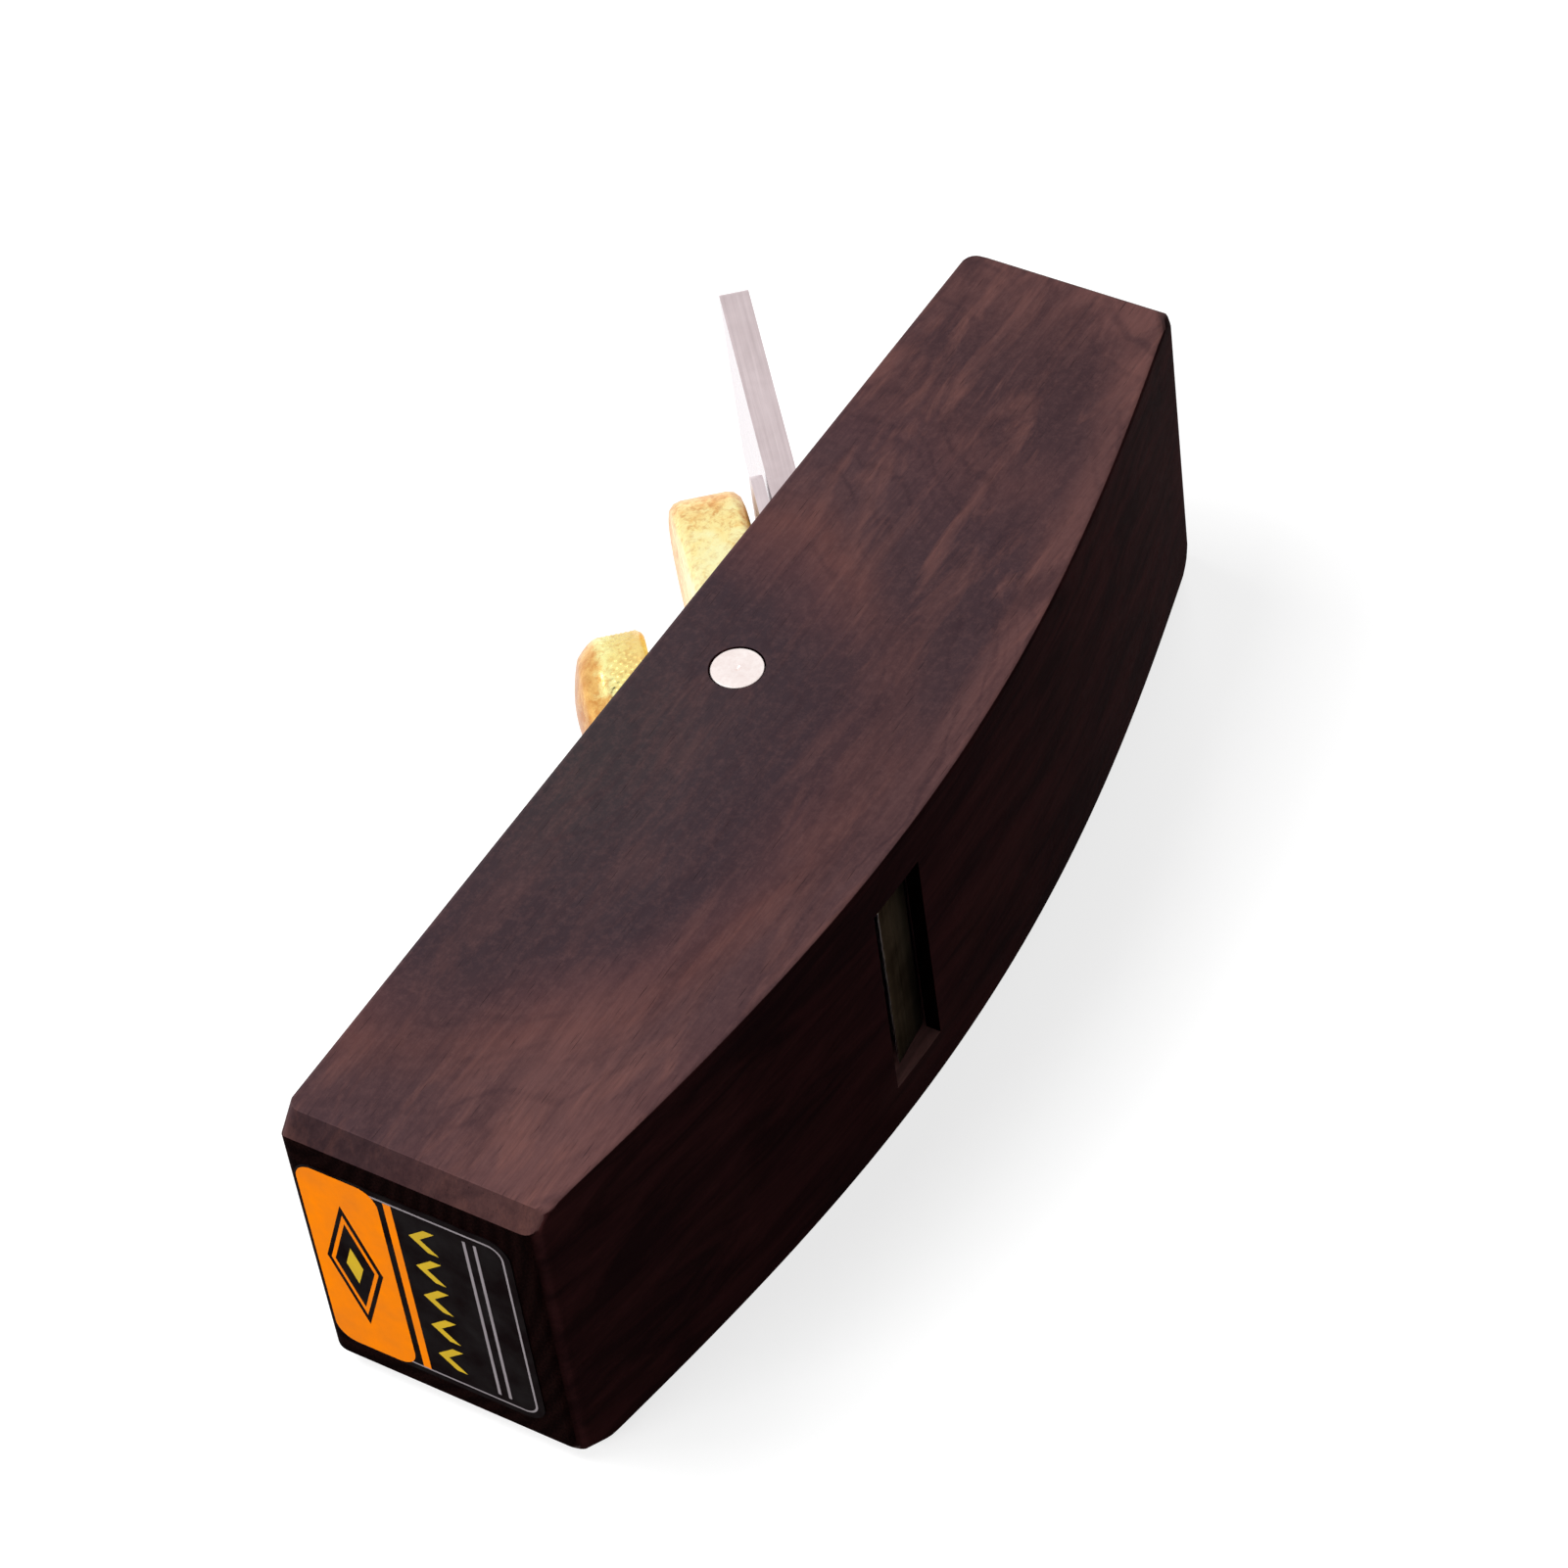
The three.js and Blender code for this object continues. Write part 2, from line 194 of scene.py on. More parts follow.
class Recipe(Nodes):
    """A material under construction.

    Coordinates are the plane's own, in millimetres, so every scale reads as features per millimetre.
    """

    def __init__(self, name: str) -> None:
        """Start a material with one Principled shader.

        Args:
            name: the material's name.
        """
        self.material = bpy.data.materials.new(name)
        self.material.use_nodes = True
        super().__init__(self.material.node_tree)
        place = self.add("TexCoord", {})
        self.millimetres = self.stretch(place.outputs["Object"], (1 / MM, 1 / MM, 1 / MM))

    def finished(self, inputs: dict[str | int, Source]) -> bpy.types.Material:
        """Feed the shader.

        Args:
            inputs: what goes into each of the shader's inputs.

        Returns:
            The finished material.
        """
        self.fill(self.tree.nodes["Principled BSDF"], inputs)
        return self.material

    def stretch(self, vector: Socket, scale: Sequence[float], turn: Place = (0, 0, 0)) -> Socket:
        """Scale and then turn coordinates.

        Args:
            vector: the coordinates.
            scale: the factor along each axis.
            turn: the turn about each axis, in radians.

        Returns:
            The changed coordinates.
        """
        return self.add("Mapping", {"Vector": vector, "Scale": scale, "Rotation": turn}).outputs["Vector"]

    def from_place(self, place: Place) -> Socket:
        """Measure the plane's coordinates from a place on it.

        Args:
            place: the place, in millimetres.

        Returns:
            The coordinates.
        """
        back = [-value for value in place]
        return self.add("Mapping", {"Vector": self.millimetres, "Location": back}).outputs["Vector"]

    def away(self, place: Place, scale: Sequence[float]) -> Socket:
        """Measure how far the surface is from a place.

        Args:
            place: the place, in millimetres.
            scale: the factor along each axis.

        Returns:
            The distance.
        """
        return self.length(self.stretch(self.from_place(place), scale))

    def along(self, start: Place, end: Place) -> Socket:
        """Measure how far the surface is along the way between two places.

        Args:
            start: the place that gives 0, in millimetres.
            end: the place that gives 1.

        Returns:
            The share of the way.
        """
        way = Vector(end) - Vector(start)
        inputs = {0: self.from_place(start), 1: way / way.length_squared}
        return self.add("VectorMath", inputs, operation="DOT_PRODUCT").outputs["Value"]

    def facing(self, axis: str) -> Socket:
        """Measure how far the surface faces along one of the plane's axes.

        Args:
            axis: the axis, X, Y or Z.

        Returns:
            The share, from -1 to 1.
        """
        normal = self.add("TexCoord", {}).outputs["Normal"]
        return self.add("SeparateXYZ", {0: normal}).outputs[axis]

    def noise(self, grain: Grain, vector: Socket | None = None) -> Socket:
        """Add a noise texture.

        Args:
            grain: its features.
            vector: the coordinates in millimetres, where they aren't the plane's own.

        Returns:
            The noise, from 0 to 1.
        """
        if vector is None:
            vector = self.from_place(grain.start)
        inputs = {"Vector": self.stretch(vector, grain.per_mm), "Scale": 1.0, "Detail": grain.detail,
                  "Roughness": grain.roughness, "Distortion": grain.swirl}
        return self.add("TexNoise", inputs).outputs["Fac"]

    def ramp(self, factor: Socket, tones: Tones) -> Socket:
        """Turn a value into a colour.

        Args:
            factor: the value.
            tones: places from 0 to 1 and the colours there.

        Returns:
            The colour.
        """
        node = self.add("ValToRGB", {"Fac": factor})
        elements = node.color_ramp.elements
        while len(elements) < len(tones):
            elements.new(1.0)
        for element, (place, colour) in zip(elements, tones):
            element.position = place
            element.color = colour
        return node.outputs["Color"]

    def blend(self, factor: Socket, first: Socket | Colour, second: Socket | Colour) -> Socket:
        """Blend two colours.

        Args:
            factor: how much of the second there is.
            first: the first colour.
            second: the second colour.

        Returns:
            The blended colour.
        """
        return self.add("Mix", {0: factor, 6: first, 7: second}, data_type="RGBA").outputs[2]

    def bump(self, height: Socket, depth: float, under: Socket | None = None) -> Socket:
        """Turn a height into a bumped normal.

        Args:
            height: the height from 0 to 1.
            depth: how deep it is, in metres.
            under: a bumped normal that it lies on.

        Returns:
            The normal.
        """
        inputs = {"Strength": 1.0, "Distance": depth, "Height": height}
        if under is not None:
            inputs["Normal"] = under
        return self.add("Bump", inputs).outputs["Normal"]


@dataclass(frozen=True)
class SoftPatch:
    """A soft-edged patch laid over the wood, in millimetres: darker or redder wood, and in one place painted
    light.
    """

    middle: Place
    reach: Place
    colour: Colour
    strength: float


@dataclass(frozen=True)
class Layer:
    """A noise that colours the wood, from low, where it starts, to high, where it has its full strength.

    A lively layer fades in the calm heart.
    """

    grain: Grain
    low: float
    high: float
    strength: float
    colour: Colour
    lively: bool = False


@dataclass(frozen=True)
class EbonyFinish:
    """Oiled ebony: a cool dark heart with redder and purpler arches round it, streaks, flecks, fine pores and
    a patch of painted light.

    The end grain drinks the most oil and is nearly black. The sole and the corners round it take a darker,
    redder colour, which is painted shade.
    """

    name: str = "oiled_ebony"
    arches: Tones = (
        (0.0, paint(57, 51, 53)), (0.2, paint(62, 50, 54)), (0.31, paint(60, 47, 52)),
        (0.38, paint(80, 55, 57)), (0.44, paint(94, 62, 60)), (0.5, paint(78, 56, 58)),
        (0.56, paint(74, 54, 57)), (0.64, paint(77, 54, 57)), (0.72, paint(94, 63, 62)),
        (0.8, paint(76, 53, 55)), (0.9, paint(92, 63, 62)), (1.0, paint(102, 69, 67)))
    heart: Place = (14.0, -14.0, 35.0)
    heart_size: Place = (76.0, 54.0, 64.0)
    sway: Grain = Grain((0.022, 0.05, 0.05), 4, 0.55, 0.6)
    wander: float = 0.26
    wood_patches_and_painted_light: tuple[SoftPatch, ...] = (
        SoftPatch((-14.0, 6.0, 33.0), (30.0, 9.0, 60.0), paint(58, 44, 49), 0.62),
        SoftPatch((-42.0, -4.0, 33.0), (9.0, 14.0, 60.0), paint(60, 44, 48), 0.55),
        SoftPatch((40.0, -10.0, 33.0), (10.0, 6.0, 60.0), paint(60, 46, 50), 0.55),
        SoftPatch((52.0, 6.0, 33.0), (16.0, 9.0, 60.0), paint(112, 77, 74), 0.6),
        # Painted light: a pale patch on the mouth's end wall on the resting-cheek side, where light falls.
        SoftPatch((12.0, 15.5, 5.3), (6.0, 3.5, 2.5), paint(176, 126, 122), 1.0))
    soft_patch_edge: Span = (1.1, 2.0)
    torn: Grain = Grain((0.05, 0.2, 0.2), 5, 0.62, 0.8)
    torn_width: float = 1.2
    dark: Colour = paint(52, 37, 42)
    layers: tuple[Layer, ...] = (
        Layer(Grain((0.07, 0.3, 0.3), 6, 0.64, 0.7), 0.5, 0.66, 1.0, paint(122, 82, 76), True),
        Layer(Grain((0.06, 0.22, 0.22), 6, 0.62, 0.6, (40, 9, 3)), 0.5, 0.66, 1.0, dark, True),
        Layer(Grain((0.08, 0.9, 0.9), 5, 0.6, 0.4), 0.5, 0.75, 0.45, dark),
        Layer(Grain((1.5, 1.5, 1.5), 4, 0.7), 0.45, 0.75, 0.24, paint(116, 84, 82)))
    lively_span: Span = (0.3, 0.7, 0.15, 0.6)
    growth_lines: tuple[float, float] = (110.0, 263.0)
    line_fading: Grain = Grain((0.05, 0.12, 0.12), 3, 0.5)
    line_fading_span: Span = (0.4, 0.65, 0.1, 1)
    line_span: Span = (0.1, 1.8, 0, 0.42)
    fibres: Grain = Grain((0.2, 3.6, 3.6), 4, 0.65)
    fibre_span: Span = (0.4, 0.75, 0, 0.3)
    fibre_depth: float = 0.01 * MM
    pore: Colour = paint(42, 30, 32)
    pores: Grain = Grain((0.3, 7.5, 7.5), 1, 0.4, 0, (3, 1, 7))
    pore_span: Span = (0.68, 0.76)
    pore_strength: float = 0.5
    pore_depth: float = 0.02 * MM
    rubbed: Colour = paint(106, 72, 69)
    rubbed_span: Span = (215.8, 217.8)
    rubbed_ends: tuple[Place, Place] = ((16.0, 0.0, 0.0), (-8.0, 0.0, 0.0))
    rubbed_strength: Span = (0.15, 0.6)
    rubbed_fibres: float = 1.6
    sole_centre: Place = (8.0, -203.0, 0.0)
    # Painted shade: the darker, redder colour of the sole, and how far the faces that look along +Y take it.
    sole_tones: Tones = ((0.4, paint(36, 15, 18)), (0.7, paint(80, 40, 41)))
    sole_bands: Grain = Grain((0.04, 0.3, 0.3), 6, 0.65, 0.5)
    sole_facing: Span = (0.55, 0.85)
    sole_strength: float = 0.9
    corner_facing: Span = (1.05, 1.2)
    end_facing: Span = (0.5, 0.9)
    end_tones: Tones = ((0.4, paint(5, 1, 1)), (0.78, paint(24, 10, 9)))
    end_vessels: Grain = Grain((0.3, 4.5, 4.5), 2, 0.5)
    end_sway: Grain = Grain((0.12, 0.12, 0.12), 3, 0.5)
    end_ring_shape: Place = (0, 1, 0.7)
    end_rings: float = 4.2
    end_ring_strength: float = 0.09
    gloss: float = 0.03
    dull: float = 0.001
    roughness_span: Span = (0.3, 0.7, 0.52, 0.4)

    def ring_place(self, recipe: Recipe) -> Socket:
        """Measure how far out from the heart a place is.

        Args:
            recipe: the material under construction.

        Returns:
            The share, from 0 in the heart to 1 at the outermost arch.
        """
        out = recipe.away(self.heart, [1 / value for value in self.heart_size])
        sway = recipe.maths("ADD", recipe.noise(self.sway), -0.5)
        return recipe.maths("ADD", out, recipe.maths("MULTIPLY", sway, self.wander))

    def patched_and_lit(self, recipe: Recipe, ground: Socket) -> Socket:
        """Lay the soft patches over the arches: darker or redder wood, and painted light on the mouth's end
        wall.

        Args:
            recipe: the material under construction.
            ground: the colour of the arches.

        Returns:
            The colour with its patches and its painted light.
        """
        torn = recipe.maths("MULTIPLY", recipe.noise(self.torn), self.torn_width)
        for soft_patch in self.wood_patches_and_painted_light:
            out = recipe.away(soft_patch.middle, [1 / value for value in soft_patch.reach])
            share = recipe.span(recipe.maths("ADD", out, torn), *self.soft_patch_edge, soft_patch.strength, 0)
            ground = recipe.blend(share, ground, soft_patch.colour)
        return ground

    def rubbed_ground(self, recipe: Recipe, ground: Socket, fibres: Socket) -> Socket:
        """Lighten the band along the sole that the hand rubs, most of it towards the heel.

        Args:
            recipe: the material under construction.
            ground: the colour under it.
            fibres: the fine fibres, from 0 to 1.

        Returns:
            The colour with the rubbed band.
        """
        rise = recipe.away(self.sole_centre, (1, 1, 0))
        frayed = recipe.maths("ADD", rise, recipe.maths("MULTIPLY", fibres, self.rubbed_fibres))
        heelward = recipe.span(recipe.along(*self.rubbed_ends), 0, 1, *self.rubbed_strength)
        share = recipe.maths("MULTIPLY", recipe.span(frayed, *self.rubbed_span), heelward)
        return recipe.blend(share, ground, self.rubbed)

    def lined(self, recipe: Recipe, ground: Socket, place: Socket) -> Socket:
        """Draw the growth lines, which fade in and out.

        Args:
            recipe: the material under construction.
            ground: the colour under them.
            place: how far out from the heart a place is.

        Returns:
            The colour with its growth lines.
        """
        waves = [recipe.maths("SINE", recipe.maths("MULTIPLY", place, count)) for count in self.growth_lines]
        fading = recipe.span(recipe.noise(self.line_fading), *self.line_fading_span)
        lines = recipe.maths("MULTIPLY", recipe.maths("ADD", *waves), fading)
        return recipe.blend(recipe.span(lines, *self.line_span), ground, self.dark)

    def face_grain(self, recipe: Recipe, fibres: Socket, pits: Socket) -> Socket:
        """Mix the colour of the faces that run with the grain.

        Args:
            recipe: the material under construction.
            fibres: the fine fibres, from 0 to 1.
            pits: the open pores, from 0 to 1.

        Returns:
            The colour.
        """
        place = self.ring_place(recipe)
        arched = self.patched_and_lit(recipe, recipe.ramp(place, self.arches))
        colour = self.lined(recipe, self.rubbed_ground(recipe, arched, fibres), place)
        lively = recipe.span(place, *self.lively_span)
        for layer in self.layers:
            share = recipe.span(recipe.noise(layer.grain), layer.low, layer.high, 0, layer.strength)
            if layer.lively:
                share = recipe.maths("MULTIPLY", share, lively)
            colour = recipe.blend(share, colour, layer.colour)
        fine = recipe.blend(recipe.span(fibres, *self.fibre_span), colour, self.dark)
        return recipe.blend(recipe.maths("MULTIPLY", pits, self.pore_strength), fine, self.pore)

    def end_colour(self, recipe: Recipe) -> Socket:
        """Mix the nearly black colour of the end grain, with growth rings and open vessels.

        Args:
            recipe: the material under construction.

        Returns:
            The colour.
        """
        out = recipe.away(self.heart, self.end_ring_shape)
        around = recipe.maths("ADD", out, recipe.noise(self.end_sway))
        rings = recipe.maths("SINE", recipe.maths("MULTIPLY", around, self.end_rings))
        faint = recipe.maths("MULTIPLY", rings, self.end_ring_strength)
        return recipe.ramp(recipe.maths("ADD", faint, recipe.noise(self.end_vessels)), self.end_tones)

    def material(self) -> bpy.types.Material:
        """Build the wood, with its grain along the plane.

        Returns:
            The material.
        """
        recipe = Recipe(self.name)
        fibres = recipe.noise(self.fibres)
        pits = recipe.span(recipe.noise(self.pores), *self.pore_span)
        across = recipe.maths("ABSOLUTE", recipe.facing("X"))
        corner = recipe.span(recipe.maths("ADD", across, recipe.facing("Y")), *self.corner_facing)
        sole = recipe.maths("MAXIMUM", recipe.span(recipe.facing("Y"), *self.sole_facing), corner)
        ends = recipe.span(across, *self.end_facing)
        # Painted shade: faces that look along +Y, the sole and its corners, are blended towards a darker,
        # redder colour.
        wear_and_painted_shade = recipe.ramp(recipe.noise(self.sole_bands), self.sole_tones)
        share = recipe.maths("MULTIPLY", sole, self.sole_strength)
        with_painted_sole_shade = recipe.blend(share, self.face_grain(recipe, fibres, pits), wear_and_painted_shade)
        shaded = recipe.maths("MAXIMUM", sole, ends)
        relief = recipe.bump(fibres, self.fibre_depth)
        return recipe.finished({
            "Base Color": recipe.blend(ends, with_painted_sole_shade, self.end_colour(recipe)),
            "Specular IOR Level": recipe.span(shaded, 0, 1, self.gloss, self.dull),
            "Roughness": recipe.span(fibres, *self.roughness_span),
            "Normal": recipe.bump(recipe.maths("MULTIPLY", pits, -1.0), self.pore_depth, relief)})


@dataclass(frozen=True)
class BrassFinish:
    """Cast brass graded between two places, with blotches, specks and a fine skin; on the lever cap and the
    knob the grade is painted highlight and shade.
    """

    name: str
    start: Place
    end: Place
    tones: Tones
    tarnish: Colour = paint(206, 132, 62)
    blotches: Grain = Grain((0.55, 0.55, 0.55), 5, 0.66, 0.6)
    mottle: float = 1.6
    specks: Grain = Grain((1.3, 1.3, 1.3), 4, 0.7, 0.3)
    speck_span: Span = (0.48, 0.66)
    speck_strength: Span = (0.25, 0.85)
    roughness: float = 0.26
    rougher: float = 0.18
    rough_span: Span = (0.3, 0.75)
    skin: Grain = Grain((3.2, 3.2, 3.2), 5, 0.6)
    pitting: float = 0.02 * MM

    def material(self) -> bpy.types.Material:
        """Build the brass from its graded tone, blotches, specks and skin.

        Returns:
            The material.
        """
        recipe = Recipe(self.name)
        blotches = recipe.maths("ADD", recipe.noise(self.blotches), -0.5)
        grade = recipe.along(self.start, self.end)
        swayed = recipe.maths("ADD", grade, recipe.maths("MULTIPLY", blotches, self.mottle))
        specks = recipe.noise(self.specks)
        strength = recipe.span(swayed, 0, 1, *self.speck_strength)
        share = recipe.maths("MULTIPLY", recipe.span(specks, *self.speck_span), strength)
        return recipe.finished({
            "Base Color": recipe.blend(share, recipe.ramp(swayed, self.tones), self.tarnish),
            "Metallic": 1.0,
            "Roughness": recipe.span(specks, *self.rough_span, self.roughness, self.roughness + self.rougher),
            "Normal": recipe.bump(recipe.noise(self.skin), self.pitting)})


@dataclass(frozen=True)
class SteelFinish:
    """Ground steel with fine lines along one direction."""

    name: str
    light: Colour = paint(218, 203, 205)
    shade: Colour = paint(196, 180, 182)
    roughness: float = 0.3
    lines: Grain = Grain((0.05, 3.0, 3.0), 5, 0.7)
    line_turn: float = 0.0
    line_depth: float = 0.004 * MM
    tone_span: Span = (0.36, 0.6)
    rougher: float = 0.14
    rough_span: Span = (0.3, 0.7)
    clouds: Grain = Grain((0.16, 0.16, 0.16), 4, 0.6, 0.4)
    spots: Grain = Grain((0.9, 0.9, 0.9), 3, 0.7)
    spot_span: Span = (0.62, 0.76, 0, 0.4)
    rim_tint: Colour = paint(255, 255, 255)

    def material(self) -> bpy.types.Material:
        """Build the steel from grinding lines, dull clouds and a few spots.

        Returns:
            The material.
        """
        recipe = Recipe(self.name)
        turned = recipe.stretch(recipe.millimetres, (1, 1, 1), (0, 0, self.line_turn))
        lines = recipe.noise(self.lines, turned)
        clouds = recipe.noise(self.clouds)
        halves = [recipe.maths("MULTIPLY", part, 0.5) for part in (lines, clouds)]
        tones = tuple(zip(self.tone_span, (self.shade, self.light)))
        ground = recipe.ramp(recipe.maths("ADD", *halves), tones)
        spots = recipe.span(recipe.noise(self.spots), *self.spot_span)
        return recipe.finished({
            "Base Color": recipe.blend(spots, ground, self.shade),
            "Metallic": 1.0,
            "Specular Tint": self.rim_tint,
            "Roughness": recipe.span(clouds, *self.rough_span, self.roughness, self.roughness + self.rougher),
            "Normal": recipe.bump(lines, self.line_depth)})


@dataclass(frozen=True)
class InkFinish:
    """Matt coated paper printed in one colour."""

    ink: Ink
    wear: float = 0.82
    dust: float = 0.01
    tone_span: Span = (0.35, 0.75)
    clouds: Grain = Grain((0.25, 0.25, 0.25), 4, 0.6)
    roughness_span: Span = (0.3, 0.7, 0.4, 0.55)
    gloss: float = 0.002
    fibres: Grain = Grain((6, 6, 6), 3, 0.6)
    fibre_depth: float = 0.006 * MM

    def material(self) -> bpy.types.Material:
        """Build the print with a slight wear and paper fibre.

        Returns:
            The material.
        """
        recipe = Recipe(f"label_{self.ink.name.lower()}")
        colour = paint(*self.ink.value)
        wear_and_painted_shade = tuple(min(1.0, channel * self.wear + self.dust) for channel in colour[:3]) + (1.0,)
        clouds = recipe.noise(self.clouds)
        return recipe.finished({
            "Base Color": recipe.ramp(clouds, tuple(zip(self.tone_span, (colour, wear_and_painted_shade)))),
            "Roughness": recipe.span(clouds, *self.roughness_span),
            "Specular IOR Level": self.gloss,
            "Normal": recipe.bump(recipe.noise(self.fibres), self.fibre_depth)})


def settle(thing: bpy.types.Object) -> bpy.types.Object:
    """Apply an object's modifiers to its mesh.

    Args:
        thing: the object.

    Returns:
        The same object, with a plain mesh.
    """
    bpy.context.view_layer.update()
    shown = thing.evaluated_get(bpy.context.evaluated_depsgraph_get())
    mesh = bpy.data.meshes.new_from_object(shown)
    thing.modifiers.clear()
    thing.data = mesh
    return thing


def soften(thing: bpy.types.Object, width: float, segments: int = 3, angle: float = 35,
           change: Callable[[bmesh.types.BMesh], None] | None = None) -> bpy.types.Object:
    """Round the sharp edges of an object and shade it smooth.

    Args:
        thing: the object.
        width: the width of the rounding, in metres.
        segments: how many steps it has.
        angle: edges sharper than this many degrees are rounded.
        change: what else is done to its shape before it is shaded.

    Returns:
        The same object.
    """
    bevel = thing.modifiers.new("edge", "BEVEL")
    bevel.width = width
    bevel.segments = segments
    bevel.limit_method = "ANGLE"
    bevel.angle_limit = math.radians(angle)
    bevel.use_clamp_overlap = True
    if change:
        settle(thing)
        shape = bmesh.new()
        shape.from_mesh(thing.data)
        change(shape)
        shape.to_mesh(thing.data)
        shape.free()
    for polygon in thing.data.polygons:
        polygon.use_smooth = True
    normals = thing.modifiers.new("normals", "WEIGHTED_NORMAL")
    normals.keep_sharp = True
    return settle(thing)


def shape_object(name: str, shape: bmesh.types.BMesh) -> bpy.types.Object:
    """Put a finished shape into the scene.

    Args:
        name: the object's name.
        shape: the shape, which is freed.

    Returns:
        The new object.
    """
    bmesh.ops.recalc_face_normals(shape, faces=shape.faces)
    mesh = bpy.data.meshes.new(name)
    shape.to_mesh(mesh)
    shape.free()
    thing = bpy.data.objects.new(name, mesh)
    bpy.context.scene.collection.objects.link(thing)
    return thing


def cad_copy(node: str, name: str) -> bpy.types.Object:
    """Copy a node's solid, with the triangles of each flat face joined.

    Args:
        node: the CAD node.
        name: the new object's name.

    Returns:
        The new object.
    """
    shape = bmesh.new()
    shape.from_mesh(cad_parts[node].data)
    bmesh.ops.remove_doubles(shape, verts=shape.verts, dist=SAME_PLACE)
    bmesh.ops.dissolve_limit(shape, angle_limit=SAME_FACE, verts=shape.verts, edges=shape.edges)
    return shape_object(name, shape)


def turned_shape(rows: Profile, sides: int,
                 cut: Callable[[float, float], float] | None = None) -> bmesh.types.BMesh:
    """Turn a profile round the Y axis into a closed shape.

    Args:
        rows: radius and height of each row between the two end points on the axis.
        sides: how many steps go round.
        cut: how far the surface is cut in at a height and an angle.

    Returns:
        The shape.
    """
    shape = bmesh.new()
    rings = []
    for radius, height in rows:
        ring = []
        for side in range(sides):
            angle = FULL_TURN * side / sides
            reach = radius - (cut(height, angle) if cut else 0)
            ring.append(shape.verts.new((reach * math.cos(angle), height, reach * math.sin(angle))))
        rings.append(ring)
    for low, high in zip(rings, rings[1:]):
        for side in range(sides):
            after = (side + 1) % sides
            shape.faces.new((low[side], low[after], high[after], high[side]))
    for ring, height in ((rings[0], rows[0][1]), (rings[-1], rows[-1][1])):
        centre = shape.verts.new((0, height, 0))
        for side in range(sides):
            shape.faces.new((centre, ring[side], ring[(side + 1) % sides]))
    return shape


def triangle_wave(turns: float) -> float:
    """Return a wave that goes evenly from 0 up to 1 and back in each turn."""
    share = turns % 1.0
    return 2 * min(share, 1 - share)


def dress(thing: bpy.types.Object, body: Body, slot: str, *materials: bpy.types.Material) -> None:
    """Give a piece its body and its materials, and report it.

    Args:
        thing: the piece.
        body: the body that it rides on.
        slot: the record's material slot; not used.
        materials: its materials, in the order of its faces' indices.
    """
    for material in materials:
        thing.data.materials.append(material)
    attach(thing, body.value)
    log.info("%s: %d faces, on %s", thing.name, len(thing.data.polygons), body.value)


@dataclass
class BladeSeat:
    """The place of the blade on its bed: X up the blade, Y out of its front face, Z across it."""

    edge_x: float = 14.2 * MM
    edge_y: float = 16.044 * MM
    middle_z: float = 16.5 * MM
    bed_angle: float = math.radians(41)

    def matrix(self) -> Matrix:
        """Return the matrix from the seat's own frame to the plane's frame."""
        place = Matrix.Translation((self.edge_x, self.edge_y, self.middle_z))
        return place @ Matrix.Rotation(math.pi + self.bed_angle, 4, "Z")


